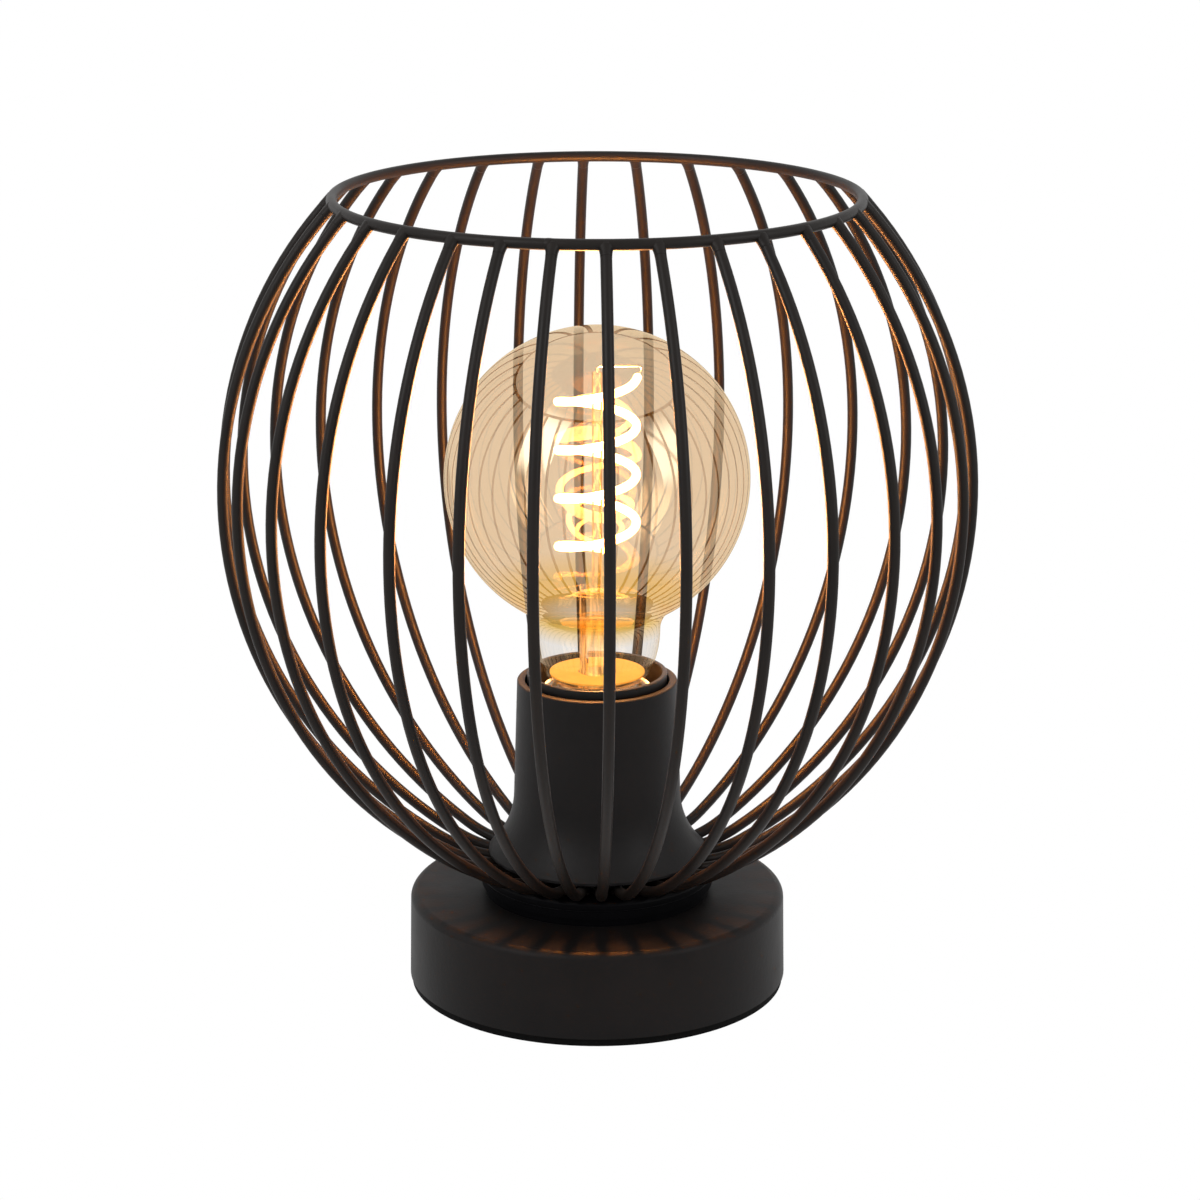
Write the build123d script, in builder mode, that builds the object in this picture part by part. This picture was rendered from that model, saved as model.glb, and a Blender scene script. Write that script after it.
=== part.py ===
from build123d import *
from math import asin, atan2, cos, pi, radians, sin, sqrt
import os

# Table lamp: a cage of bent steel wires round a globe lamp bulb, on a drum base.
# Millimetres. +Z is up, +Y is the back, and the floor under the base is Z = 0.
os.makedirs("parts", exist_ok=True)

# Cage
wire_diameter = 3.4
wire_count = 30
ring_radius = 80.3
ring_height_above_belly = 90.0
belly_radius = 115.8
belly_rise = 122.4
foot_bend_radius = 38.0
foot_outer_radius = 28.0
foot_inner_radius = 23.0
cope_gap = 0.05

# Hand-welded: the wires stand closer together at the front, and these stand off their even places
first_wire_angle = 1.9
wire_crowding_angle = 2.5
front_stray_angles = {2: -0.8, 4: -0.9, 26: 0.8, 27: 1.0, 28: 2.2, 29: 1.6, 30: 0.8}
back_stray_angles = {12: 1.0, 13: 1.9, 14: 2.1, 15: 1.8, 16: 1.2, 17: -1.0}

# Cage plate
plate_radius = 36.8
plate_rise = 8.0
plate_step = 1.0
plate_lower_band = 2.6
plate_edge_radius = 1.0
plate_groove_radius = 0.35
sheet = 1.2

# Base
base_radius = 60.0
base_height = 30.0
base_taper_width = 0.5
base_edge_radius = 2.5
pad_thickness = 2.4
pad_inset = 0.6
bottom_plate_thickness = 1.2
bottom_plate_gap = 0.3
inlet_height = 11.5
inlet_hole_radius = 4.5
grommet_bore_radius = 3.1
grommet_flange = 1.7
grommet_flange_thickness = 1.4
grommet_gap = 0.1
grommet_edge_radius = 0.45
drill_depth = 5.0

# Lugs and screws that hold the bottom plate
lug_count = 3
lug_circle_radius = 52.0
lug_width = 12.0
lug_height = 9.0
lug_overlap = 0.3
lug_first_angle = 30.0
plate_screw_radius = 1.95
plate_screw_length = 9.0
plate_screw_head_radius = 3.8
plate_screw_head_height = 1.8
plate_screw_edge_radius = 0.6
screw_hole_gap = 0.25
thread_gap = 0.05
head_room = 1.2

# Threaded tube, its nuts and washers
nipple_radius = 5.0
nipple_bore_radius = 4.0
nipple_overhang = 4.0
nipple_gap = 0.2
nut_across_flats = 14.0
washer_radius = 9.0
washer_thickness = 0.8

# Cover round the lamp holder
cover_top_radius = 25.2
cover_waist_radius = 26.4
cover_rim_radius = 34.5
cover_rim_height = 0.8
cover_flare_height = 18.4
cover_height = 56.7
cover_wall = 1.2
cover_edge_radius = 0.5
cover_lip_gap = 0.6
cover_gap = 0.8

# Lamp holder
holder_radius = 20.2
holder_wall = 1.8
cap_height = 24.0
cap_floor = 2.5
cap_hub_radius = 8.0
cap_hub_height = 12.0
cap_flange_thickness = 2.0
cap_collar = 6.0
sleeve_gap = 0.3
sleeve_wall = 1.5
sleeve_height = 40.1
sleeve_edge_radius = 0.4
insert_floor = 6.0
insert_wall = 2.6
insert_height = 23.0
insert_gap = 0.1
channel_width = 5.4
channel_depth = 3.0
contact_thickness = 0.6
contact_side_gap = 0.2
contact_end_gap = 0.4
contact_screw_place = 10.5
leaf_half_span = 6.0
leaf_rest_gap = 0.25

# Screw thread between the bulb and the holder, seven turns to the inch
thread_pitch = 25.4 / 7
thread_crest_radius = 0.95
bulb_thread_radius = 12.15
thread_side_gap = 0.2
thread_wall = 1.0
thread_overlap = 0.1
bulb_cap_height = 22.0
shell_height = 22.0
thread_turns = 4.25
thread_start_rise = 3.0

# Small screws in the holder and in the terminal block
small_screw_radius = 1.4
small_screw_length = 4.0
small_head_radius = 2.2
small_head_height = 1.6
small_screw_gap = 0.1
small_slot_width = 0.75
small_slot_depth = 0.8

# Terminal block and leads
block_length = 20.0
block_depth = 14.0
block_height = 12.0
block_place = 30.0
block_edge_radius = 0.6
block_pole_distance = 9.0
block_screw_distance = 7.0
block_wire_height = 6.4
lead_radius = 1.1
lead_hole_gap = 0.3
lead_hole_wall = 0.5
lead_distance = 2.6
lead_straight_length = 4.4
lead_end_length = 6.6
lead_tube_overhang = 2.2
lead_entry_depth = 2.0
lead_lower_bend_radius = 6.6
lead_upper_bend_radius = 3.3

# Bulb
bulb_length = 138.0
bulb_radius = 47.5
bulb_neck_radius = 19.8
bulb_neck_rise = 42.0
bulb_heel_radius = 16.35
bulb_heel_rise = 27.5
bulb_heel_edge_radius = 2.0
bulb_seat_depth = 6.0
glass_wall = 0.8
cement_gap = 0.3
eyelet_radius = 4.6
eyelet_height = 1.0
eyelet_gap = 0.2
insulator_rise = 4.0
insulator_plug = 2.0
board_thickness = 1.2
board_rise = 10.0
board_part_distance = 3.7
rectifier_length = 3.7
rectifier_width = 5.5
rectifier_height = 2.4
capacitor_radius = 2.8
capacitor_height = 3.6

# Inside the globe
stem_radius = 5.5
stem_wall = 1.0
stem_flare_height = 9.0
stem_tube_rise = 46.0
neck_disc_thickness = 0.5
neck_disc_gap = 0.6
neck_disc_rise = 0.4
neck_disc_hole_gap = 0.5
press_width = 11.0
press_depth = 4.0
press_height = 10.0
press_edge_radius = 1.3
pillar_radius = 1.6
pillar_rise = 124.0
filament_radius = 1.3
filament_coil_radius = 12.2
filament_pitch = 15.4
filament_turns = 3.75
filament_top_rise = 122.0
filament_top_angle = 78.0
support_radius = 0.4
support_gap = 0.05
support_reach = 2.0
support_bend_radius = 1.0
lower_support_side = 2.75

# Heights, worked up from the floor
wire_radius = wire_diameter / 2
plate_top = base_height + plate_rise
foot_height = plate_top + wire_radius
belly_height = foot_height + belly_rise
ring_height = belly_height + ring_height_above_belly
floor_plate_top = pad_thickness + bottom_plate_thickness

# The wires pass under the rim of the cover, which stands clear of them
bend_centre_height = foot_height + foot_bend_radius
rim_run = cover_rim_radius - foot_outer_radius
wire_top_at_rim = bend_centre_height - sqrt((foot_bend_radius - wire_radius) ** 2 - rim_run ** 2)
cover_bottom = wire_top_at_rim + cover_gap
nut_height = cover_bottom - plate_top - washer_thickness
lower_washer_bottom = base_height - sheet - washer_thickness
lower_nut_bottom = lower_washer_bottom - nut_height

# The holder stands on the cover, and the bulb's end contact on the holder's floor
cap_bottom = cover_bottom + cover_wall
cap_top = cap_bottom + cap_height
seat_height = cap_top + insert_floor
sleeve_inner_radius = holder_radius + sleeve_gap
sleeve_radius = sleeve_inner_radius + sleeve_wall
sleeve_bottom = cap_top - cap_collar
nipple_bottom = lower_nut_bottom - nipple_overhang
nipple_top = cap_bottom + cap_hub_height

# Thread radii: a round ridge on each wall, half a pitch apart along the axis
cap_outer_radius = bulb_thread_radius - thread_overlap
cap_inner_radius = cap_outer_radius - thread_wall
shell_inner_radius = bulb_thread_radius + thread_crest_radius + thread_side_gap
shell_thread_radius = shell_inner_radius - thread_overlap
shell_outer_radius = shell_inner_radius + thread_wall
insert_inner_radius = shell_outer_radius + insert_gap
cap_shell_bottom = seat_height + insulator_rise
cap_shell_top = cap_shell_bottom + bulb_cap_height

# Globe centre and neck: the ball runs into the neck in a hollow arc, and the neck draws in to its
# heel in a long bulging arc
globe_centre = seat_height + bulb_length - bulb_radius
neck_height = seat_height + bulb_neck_rise
neck_run = globe_centre - neck_height
neck_blend_radius = (neck_run ** 2 + bulb_neck_radius ** 2 - bulb_radius ** 2) / (
    2 * (bulb_radius - bulb_neck_radius)
)
heel_height = seat_height + bulb_heel_rise
heel_run = neck_height - heel_height
neck_arc_radius = ((bulb_neck_radius - bulb_heel_radius) ** 2 + heel_run ** 2) / (
    2 * (bulb_neck_radius - bulb_heel_radius)
)
heel_tilt = asin(heel_run / neck_arc_radius)
heel_edge_centre = Vector(
    bulb_heel_radius - bulb_heel_edge_radius * cos(heel_tilt),
    heel_height + bulb_heel_edge_radius * sin(heel_tilt),
)
shoulder_height = heel_edge_centre.Y - bulb_heel_edge_radius
neck_stub_radius = cap_inner_radius - cement_gap
neck_stub_bottom = cap_shell_top - bulb_seat_depth


# Point at a radius and height, at an angle turned from the front towards the right
def around(angle, radius, height):
    turn = radians(angle)
    return Vector(radius * sin(turn), -radius * cos(turn), height)


# Unit direction of a helix that climbs as it turns from the front towards the right
def climb(angle, radius, pitch):
    turn = radians(angle)
    return Vector(radius * cos(turn), radius * sin(turn), pitch / (2 * pi)).normalized()


# A helix as pairs of tangent arcs, each pair about a quarter of a turn
def helix_arcs(radius, pitch, start_angle, start_height, turns):
    steps = round(turns * 4)
    angle_step = turns * 360 / steps
    for step in range(steps):
        angle = start_angle + step * angle_step
        height = start_height + step * turns * pitch / steps
        start = around(angle, radius, height)
        end = around(angle + angle_step, radius, height + turns * pitch / steps)
        start_way = climb(angle, radius, pitch)
        end_way = climb(angle + angle_step, radius, pitch)
        chord = end - start
        both = start_way + end_way
        spread = 2 * (1 - start_way.dot(end_way))
        along = chord.dot(both)
        reach = (sqrt(along ** 2 + spread * chord.dot(chord)) - along) / spread
        middle = (start + end + (start_way - end_way) * reach) * 0.5
        middle_way = ((end - end_way * reach) - (start + start_way * reach)).normalized()
        TangentArc(start, middle, tangent=start_way)
        TangentArc(middle, end, tangent=middle_way)


# One bent wire in its plane: a foot on the plate, the belly, and the cope at the ring
reach_out = belly_radius - foot_outer_radius
lower_arc_radius = (reach_out ** 2 + belly_rise ** 2 - 2 * foot_bend_radius * belly_rise) / (
    2 * (reach_out - foot_bend_radius)
)
lower_arc_centre = belly_radius - lower_arc_radius
join_way = Vector(foot_outer_radius - lower_arc_centre, bend_centre_height - belly_height).normalized()
join_radius = foot_outer_radius + foot_bend_radius * join_way.X
join_height = bend_centre_height + foot_bend_radius * join_way.Y

with BuildPart() as wire:
    with BuildLine(Plane.XZ) as wire_path:
        Line((foot_inner_radius, foot_height), (foot_outer_radius, foot_height))
        TangentArc((foot_outer_radius, foot_height), (join_radius, join_height), tangent=(1, 0))
        TangentArc(
            (join_radius, join_height), (belly_radius, belly_height), tangent=(-join_way.Y, join_way.X)
        )
        TangentArc((belly_radius, belly_height), (ring_radius, ring_height), tangent=(0, 1))
    with BuildSketch(Plane(origin=(foot_inner_radius, 0, foot_height), z_dir=(1, 0, 0))):
        Circle(wire_radius)
    sweep(path=wire_path.line)
    with BuildSketch(Plane.XZ) as cope_section:
        with Locations((ring_radius, ring_height)):
            Circle(wire_radius + cope_gap)
    revolve(axis=Axis.Z, mode=Mode.SUBTRACT)

# Each wire stands at its even place, moved by the crowding and by its own stray
stray_angles = front_stray_angles | back_stray_angles
for number in range(1, wire_count + 1):
    even_angle = first_wire_angle + (number - 1) * 360 / wire_count
    crowding = wire_crowding_angle * sin(radians(even_angle))
    wire_angle = even_angle - crowding + stray_angles.get(number, 0)
    with BuildPart() as cage_wire:
        add(wire.part, rotation=(0, 0, wire_angle - 90))
    cage_wire.part.label = f"cage_wire_{number:02d}"
    export_step(cage_wire.part, f"parts/cage_wire_{number:02d}.step")

# Top ring, closed by a butt weld
with BuildPart() as top_ring:
    with BuildSketch(Plane.XZ) as ring_section:
        with Locations((ring_radius, ring_height)):
            Circle(wire_radius)
    revolve(axis=Axis.Z)
top_ring.part.label = "top_ring"
export_step(top_ring.part, "parts/top_ring.step")

# Cage plate: an upside-down pan that the wires' feet are welded to
plate_step_height = base_height + plate_lower_band
lower_band_radius = plate_radius - plate_step
with BuildPart() as cage_plate:
    with BuildSketch(Plane.XZ) as pan_section:
        with BuildLine():
            Polyline(
                (nipple_radius + nipple_gap, plate_top),
                (plate_radius, plate_top),
                (plate_radius, plate_step_height),
                (lower_band_radius, plate_step_height),
                (lower_band_radius, base_height),
                (lower_band_radius - sheet, base_height),
                (lower_band_radius - sheet, plate_step_height + sheet),
                (plate_radius - sheet, plate_step_height + sheet),
                (plate_radius - sheet, plate_top - sheet),
                (nipple_radius + nipple_gap, plate_top - sheet),
                close=True,
            )
        make_face()
        fillet(pan_section.vertices().group_by(Axis.Y)[-1].sort_by(Axis.X)[-1], plate_edge_radius)
        with Locations((plate_radius, (plate_top + plate_step_height) / 2)):
            Circle(plate_groove_radius, mode=Mode.SUBTRACT)
    revolve(axis=Axis.Z)
cage_plate.part.label = "cage_plate"
export_step(cage_plate.part, "parts/cage_plate.step")

# Base drum: a deep-drawn steel shell, open below, with lugs welded inside for the bottom plate
wall_height = base_height - pad_thickness
inlet_wall_radius = base_radius - base_taper_width * (inlet_height - pad_thickness) / wall_height
inlet_plane = Plane(origin=(0, 0, inlet_height), x_dir=(1, 0, 0), z_dir=(0, 1, 0))
with BuildPart() as base_drum:
    with BuildSketch(Plane.XZ) as drum_section:
        with BuildLine():
            Polyline(
                (0, pad_thickness),
                (base_radius, pad_thickness),
                (base_radius - base_taper_width, base_height),
                (0, base_height),
                close=True,
            )
        make_face()
        fillet(drum_section.vertices().group_by(Axis.Y)[-1].sort_by(Axis.X)[-1], base_edge_radius)
    revolve(axis=Axis.Z)
    offset(amount=-sheet, openings=base_drum.faces().sort_by(Axis.Z)[0])
    with BuildSketch(Plane.XY.offset(floor_plate_top)) as lug_section:
        lug_outer_radius = base_radius - sheet + lug_overlap
        lug_inner_radius = lug_circle_radius - lug_width / 2
        with PolarLocations((lug_inner_radius + lug_outer_radius) / 2, lug_count, lug_first_angle):
            Rectangle(lug_outer_radius - lug_inner_radius, lug_width)
    extrude(amount=lug_height)
    with BuildSketch(Plane.XY.offset(floor_plate_top)) as lug_holes:
        with PolarLocations(lug_circle_radius, lug_count, lug_first_angle):
            Circle(plate_screw_radius + thread_gap)
    extrude(amount=lug_height, mode=Mode.SUBTRACT)
    with BuildSketch(Plane.XY.offset(base_height)) as roof_hole:
        Circle(nipple_radius + nipple_gap)
    extrude(amount=-drill_depth, mode=Mode.SUBTRACT)
    with BuildSketch(inlet_plane.offset(base_radius)) as inlet_hole:
        Circle(inlet_hole_radius)
    extrude(amount=-drill_depth, mode=Mode.SUBTRACT)
base_drum.part.label = "base_drum"
export_step(base_drum.part, "parts/base_drum.step")

# Bottom plate, closing the drum from below
inner_wall_radius = base_radius - sheet
with BuildPart() as bottom_plate:
    with BuildSketch(Plane.XY.offset(pad_thickness)) as plate_outline:
        Circle(inner_wall_radius - bottom_plate_gap)
        with PolarLocations(lug_circle_radius, lug_count, lug_first_angle):
            Circle(plate_screw_radius + screw_hole_gap, mode=Mode.SUBTRACT)
    extrude(amount=bottom_plate_thickness)
bottom_plate.part.label = "bottom_plate"
export_step(bottom_plate.part, "parts/bottom_plate.step")

# Screws through the bottom plate into the lugs, with their heads inside the foot pad
with BuildPart() as bottom_plate_screws:
    with BuildSketch(Plane.XY.offset(pad_thickness)) as plate_screw_heads:
        with PolarLocations(lug_circle_radius, lug_count, lug_first_angle):
            Circle(plate_screw_head_radius)
    extrude(amount=-plate_screw_head_height)
    fillet(
        bottom_plate_screws.edges().filter_by(GeomType.CIRCLE).group_by(Axis.Z)[0],
        plate_screw_edge_radius,
    )
    with BuildSketch(Plane.XY.offset(pad_thickness)) as plate_screw_shanks:
        with PolarLocations(lug_circle_radius, lug_count, lug_first_angle):
            Circle(plate_screw_radius)
    extrude(amount=plate_screw_length)
bottom_plate_screws.part.label = "bottom_plate_screws"
export_step(bottom_plate_screws.part, "parts/bottom_plate_screws.step")

# Foot pad glued under the bottom plate, with room for the screw heads
with BuildPart() as foot_pad:
    with BuildSketch() as pad_outline:
        Circle(base_radius - pad_inset)
        with PolarLocations(lug_circle_radius, lug_count, lug_first_angle):
            Circle(plate_screw_head_radius + head_room, mode=Mode.SUBTRACT)
    extrude(amount=pad_thickness)
foot_pad.part.label = "foot_pad"
export_step(foot_pad.part, "parts/foot_pad.step")

# Cord grommet in the back wall: a neck between two flanges, with a bore for the cord
grommet_neck_radius = inlet_hole_radius - grommet_gap
grommet_radius = inlet_hole_radius + grommet_flange
inner_flange_face = sqrt((inlet_wall_radius - sheet) ** 2 - grommet_radius ** 2) - grommet_gap
outer_flange_face = inlet_wall_radius + grommet_gap
with BuildPart() as cord_grommet:
    with BuildSketch(inlet_plane.offset(inner_flange_face)) as neck_section:
        Circle(grommet_neck_radius)
    extrude(amount=outer_flange_face - inner_flange_face)
    with BuildSketch(inlet_plane.offset(inner_flange_face)) as inner_flange:
        Circle(grommet_radius)
    extrude(amount=-grommet_flange_thickness)
    with BuildSketch(inlet_plane.offset(outer_flange_face)) as outer_flange:
        Circle(grommet_radius)
    extrude(amount=grommet_flange_thickness)
    fillet(
        cord_grommet.edges().filter_by(GeomType.CIRCLE).group_by(Axis.Y)[-1],
        grommet_edge_radius,
    )
    with BuildSketch(inlet_plane.offset(inner_flange_face - grommet_flange_thickness)) as cord_bore:
        Circle(grommet_bore_radius)
    extrude(
        amount=outer_flange_face - inner_flange_face + 2 * grommet_flange_thickness, mode=Mode.SUBTRACT
    )
cord_grommet.part.label = "cord_grommet"
export_step(cord_grommet.part, "parts/cord_grommet.step")

# Threaded tube through the base, the cage plate, the cover and the holder
with BuildPart() as nipple:
    with BuildSketch(Plane.XY.offset(nipple_bottom)) as nipple_section:
        Circle(nipple_radius)
        Circle(nipple_bore_radius, mode=Mode.SUBTRACT)
    extrude(amount=nipple_top - nipple_bottom)
nipple.part.label = "nipple"
export_step(nipple.part, "parts/nipple.step")

# Two equal nuts: one under the base's roof, one on the cage plate
nut_corner_radius = nut_across_flats / sqrt(3)
with BuildPart() as nipple_nuts:
    for nut_bottom in (lower_nut_bottom, plate_top + washer_thickness):
        with BuildSketch(Plane.XY.offset(nut_bottom)) as nut_section:
            RegularPolygon(nut_corner_radius, 6)
            Circle(nipple_radius + thread_gap, mode=Mode.SUBTRACT)
        extrude(amount=nut_height)
nipple_nuts.part.label = "nipple_nuts"
export_step(nipple_nuts.part, "parts/nipple_nuts.step")

# Two equal washers, each between a nut and the sheet
with BuildPart() as lock_washers:
    for washer_bottom in (lower_washer_bottom, plate_top):
        with BuildSketch(Plane.XY.offset(washer_bottom)) as washer_section:
            Circle(washer_radius)
            Circle(nipple_radius + nipple_gap, mode=Mode.SUBTRACT)
        extrude(amount=washer_thickness)
lock_washers.part.label = "lock_washers"
export_step(lock_washers.part, "parts/lock_washers.step")

# Cover: a bell with a flared foot and an inward lip, standing on the upper nut
cover_top = cover_bottom + cover_height
flare_start = cover_bottom + cover_rim_height
flare_end = flare_start + cover_flare_height
with BuildPart() as holder_cover:
    with BuildSketch(Plane.XZ) as cover_section:
        with BuildLine():
            Line((0, cover_bottom), (cover_rim_radius, cover_bottom))
            Line((cover_rim_radius, cover_bottom), (cover_rim_radius, flare_start))
            TangentArc(
                (cover_waist_radius, flare_end),
                (cover_rim_radius, flare_start),
                tangent=(cover_waist_radius - cover_top_radius, flare_end - cover_top),
            )
            Polyline((cover_waist_radius, flare_end), (cover_top_radius, cover_top), (0, cover_top))
            Line((0, cover_top), (0, cover_bottom))
        make_face()
    revolve(axis=Axis.Z)
    offset(amount=-cover_wall, openings=holder_cover.faces().sort_by(Axis.Z)[-1])
    with BuildSketch(Plane.XY.offset(cover_top)) as cover_lip:
        Circle(cover_top_radius - cover_wall / 2)
        Circle(sleeve_radius + cover_lip_gap, mode=Mode.SUBTRACT)
    extrude(amount=-cover_wall)
    fillet(holder_cover.edges().group_by(Axis.Z)[-1], cover_edge_radius)
    with BuildSketch(Plane.XY.offset(cover_bottom)) as cover_hole:
        Circle(nipple_radius + nipple_gap)
    extrude(amount=cover_wall, mode=Mode.SUBTRACT)
holder_cover.part.label = "holder_cover"
export_step(holder_cover.part, "parts/holder_cover.step")

# Holder cap, screwed down on the threaded tube, with a flange that the sleeve stands on
holder_inner_radius = holder_radius - holder_wall
with BuildPart() as holder_cap:
    with BuildSketch(Plane.XY.offset(cap_bottom)) as cap_outline:
        Circle(holder_radius)
    extrude(amount=cap_height)
    with BuildSketch(Plane.XY.offset(cap_bottom + cap_floor)) as cap_hollow:
        Circle(holder_inner_radius)
        Circle(cap_hub_radius, mode=Mode.SUBTRACT)
    extrude(amount=cap_height - cap_floor, mode=Mode.SUBTRACT)
    with BuildSketch(Plane.XY.offset(nipple_top)) as above_hub:
        Circle(holder_inner_radius)
    extrude(amount=cap_top - nipple_top, mode=Mode.SUBTRACT)
    with BuildSketch(Plane.XY.offset(cap_bottom)) as cap_bore:
        Circle(nipple_radius + thread_gap)
    extrude(amount=cap_height, mode=Mode.SUBTRACT)
    with BuildSketch(Plane.XY.offset(sleeve_bottom)) as cap_flange:
        Circle(sleeve_radius)
        Circle(holder_radius - holder_wall / 2, mode=Mode.SUBTRACT)
    extrude(amount=-cap_flange_thickness)
holder_cap.part.label = "holder_cap"
export_step(holder_cap.part, "parts/holder_cap.step")

# Holder sleeve, rounded at its mouth
with BuildPart() as holder_sleeve:
    with BuildSketch(Plane.XY.offset(sleeve_bottom)) as sleeve_outline:
        Circle(sleeve_radius)
        Circle(sleeve_inner_radius, mode=Mode.SUBTRACT)
    extrude(amount=sleeve_height)
    fillet(holder_sleeve.edges().filter_by(GeomType.CIRCLE).group_by(Axis.Z)[-1], sleeve_edge_radius)
holder_sleeve.part.label = "holder_sleeve"
export_step(holder_sleeve.part, "parts/holder_sleeve.step")

# Holder insert: an insulating floor on the cap's rim, with a wall round the screw shell.
# A channel in the floor takes the leaf of the end contact, and a shallow one the side contact.
insert_outer_radius = insert_inner_radius + insert_wall
channel_floor = seat_height - channel_depth
lead_hole_place = channel_width / 2 + lead_radius + lead_hole_gap + lead_hole_wall
lead_hole_side = contact_screw_place - small_head_radius - lead_radius
with BuildPart() as holder_insert:
    with BuildSketch(Plane.XY.offset(cap_top)) as insert_base:
        Circle(holder_radius)
    extrude(amount=insert_floor)
    with BuildSketch(Plane.XY.offset(seat_height)) as insert_ring:
        Circle(insert_outer_radius)
        Circle(insert_inner_radius, mode=Mode.SUBTRACT)
    extrude(amount=insert_height)
    channel_start = -contact_screw_place - small_head_radius - contact_end_gap
    channel_end = leaf_half_span + contact_end_gap
    with BuildSketch(Plane.XY.offset(channel_floor)) as end_contact_channel:
        with Locations(((channel_start + channel_end) / 2, 0)):
            Rectangle(channel_end - channel_start, channel_width)
    extrude(amount=channel_depth, mode=Mode.SUBTRACT)
    side_strip_end = shell_outer_radius - contact_side_gap
    side_strip_start = contact_screw_place - small_head_radius
    with BuildSketch(Plane.XY.offset(seat_height - contact_thickness)) as side_contact_channel:
        with Locations(((side_strip_start + side_strip_end) / 2, 0)):
            Rectangle(side_strip_end - side_strip_start + 2 * contact_side_gap, channel_width)
    extrude(amount=contact_thickness, mode=Mode.SUBTRACT)
    with BuildSketch(Plane.XY.offset(cap_top)) as screw_and_lead_holes:
        with Locations((-contact_screw_place, 0), (contact_screw_place, 0)):
            Circle(small_screw_radius + small_screw_gap)
        with Locations((-lead_hole_side, lead_hole_place), (lead_hole_side, lead_hole_place)):
            Circle(lead_radius + lead_hole_gap)
    extrude(amount=insert_floor, mode=Mode.SUBTRACT)
holder_insert.part.label = "holder_insert"
export_step(holder_insert.part, "parts/holder_insert.step")

# End contact: a strip under its screw that bows up below the middle of the bulb
strip_width = channel_width - 2 * contact_side_gap
strip_middle_height = channel_floor + contact_thickness / 2
leaf_crown = seat_height - leaf_rest_gap - contact_thickness / 2
with BuildPart() as centre_contact:
    with BuildSketch(Plane.XZ) as leaf_section:
        with BuildLine() as leaf_line:
            Line(
                (-contact_screw_place - small_head_radius, strip_middle_height),
                (-leaf_half_span, strip_middle_height),
            )
            ThreePointArc(
                (-leaf_half_span, strip_middle_height),
                (0, leaf_crown),
                (leaf_half_span, strip_middle_height),
            )
        trace(line_width=contact_thickness)
    extrude(amount=strip_width / 2, both=True)
    with BuildSketch(Plane.XY.offset(channel_floor)) as leaf_screw_hole:
        with Locations((-contact_screw_place, 0)):
            Circle(small_screw_radius + small_screw_gap)
    extrude(amount=contact_thickness, mode=Mode.SUBTRACT)
centre_contact.part.label = "centre_contact"
export_step(centre_contact.part, "parts/centre_contact.step")

# Side contact: a flat strip under its screw and the edge of the screw shell
with BuildPart() as shell_contact:
    with BuildSketch(Plane.XY.offset(seat_height - contact_thickness)) as side_strip:
        with Locations(((side_strip_start + side_strip_end) / 2, 0)):
            Rectangle(side_strip_end - side_strip_start, strip_width)
        with Locations((contact_screw_place, 0)):
            Circle(small_screw_radius + small_screw_gap, mode=Mode.SUBTRACT)
    extrude(amount=contact_thickness)
shell_contact.part.label = "shell_contact"
export_step(shell_contact.part, "parts/shell_contact.step")

# Screw shell of the holder, its thread pressed inwards
with BuildPart() as screw_shell:
    with BuildSketch(Plane.XY.offset(seat_height)) as shell_section:
        Circle(shell_outer_radius)
        Circle(shell_inner_radius, mode=Mode.SUBTRACT)
    extrude(amount=shell_height)
    shell_thread_start = seat_height + thread_start_rise
    with BuildLine() as shell_helix:
        helix_arcs(shell_thread_radius, thread_pitch, 0, shell_thread_start, thread_turns)
    with BuildSketch(
        Plane(
            origin=around(0, shell_thread_radius, shell_thread_start),
            z_dir=climb(0, shell_thread_radius, thread_pitch),
        )
    ):
        Circle(thread_crest_radius)
    sweep(path=shell_helix.line)
screw_shell.part.label = "screw_shell"
export_step(screw_shell.part, "parts/screw_shell.step")

# Screw cap of the bulb, its thread half a pitch away from the shell's
with BuildPart() as bulb_cap:
    with BuildSketch(Plane.XY.offset(cap_shell_bottom)) as cap_ring_section:
        Circle(cap_outer_radius)
        Circle(cap_inner_radius, mode=Mode.SUBTRACT)
    extrude(amount=bulb_cap_height)
    bulb_thread_start = shell_thread_start + 1.5 * thread_pitch
    with BuildLine() as cap_helix:
        helix_arcs(bulb_thread_radius, thread_pitch, 0, bulb_thread_start, thread_turns)
    with BuildSketch(
        Plane(
            origin=around(0, bulb_thread_radius, bulb_thread_start),
            z_dir=climb(0, bulb_thread_radius, thread_pitch),
        )
    ):
        Circle(thread_crest_radius)
    sweep(path=cap_helix.line)
bulb_cap.part.label = "bulb_cap"
export_step(bulb_cap.part, "parts/bulb_cap.step")

# Insulator between the bulb's screw cap and its end contact
insulator_bottom = seat_height + eyelet_height + eyelet_gap
plug_radius = cap_inner_radius - thread_side_gap / 2
with BuildPart() as cap_insulator:
    with BuildSketch(Plane.XZ) as insulator_section:
        with BuildLine():
            Polyline(
                (0, insulator_bottom),
                (eyelet_radius + 2 * eyelet_gap, insulator_bottom),
                (cap_outer_radius - eyelet_gap, cap_shell_bottom),
                (plug_radius, cap_shell_bottom),
                (plug_radius, cap_shell_bottom + insulator_plug),
                (0, cap_shell_bottom + insulator_plug),
                close=True,
            )
        make_face()
    revolve(axis=Axis.Z)
cap_insulator.part.label = "cap_insulator"
export_step(cap_insulator.part, "parts/cap_insulator.step")

# End contact of the bulb
with BuildPart() as cap_contact:
    with BuildSketch(Plane.XY.offset(seat_height)) as eyelet_section:
        Circle(eyelet_radius)
    extrude(amount=eyelet_height)
    fillet(cap_contact.edges().group_by(Axis.Z)[0], eyelet_height / 2)
cap_contact.part.label = "cap_contact"
export_step(cap_contact.part, "parts/cap_contact.step")

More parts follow.
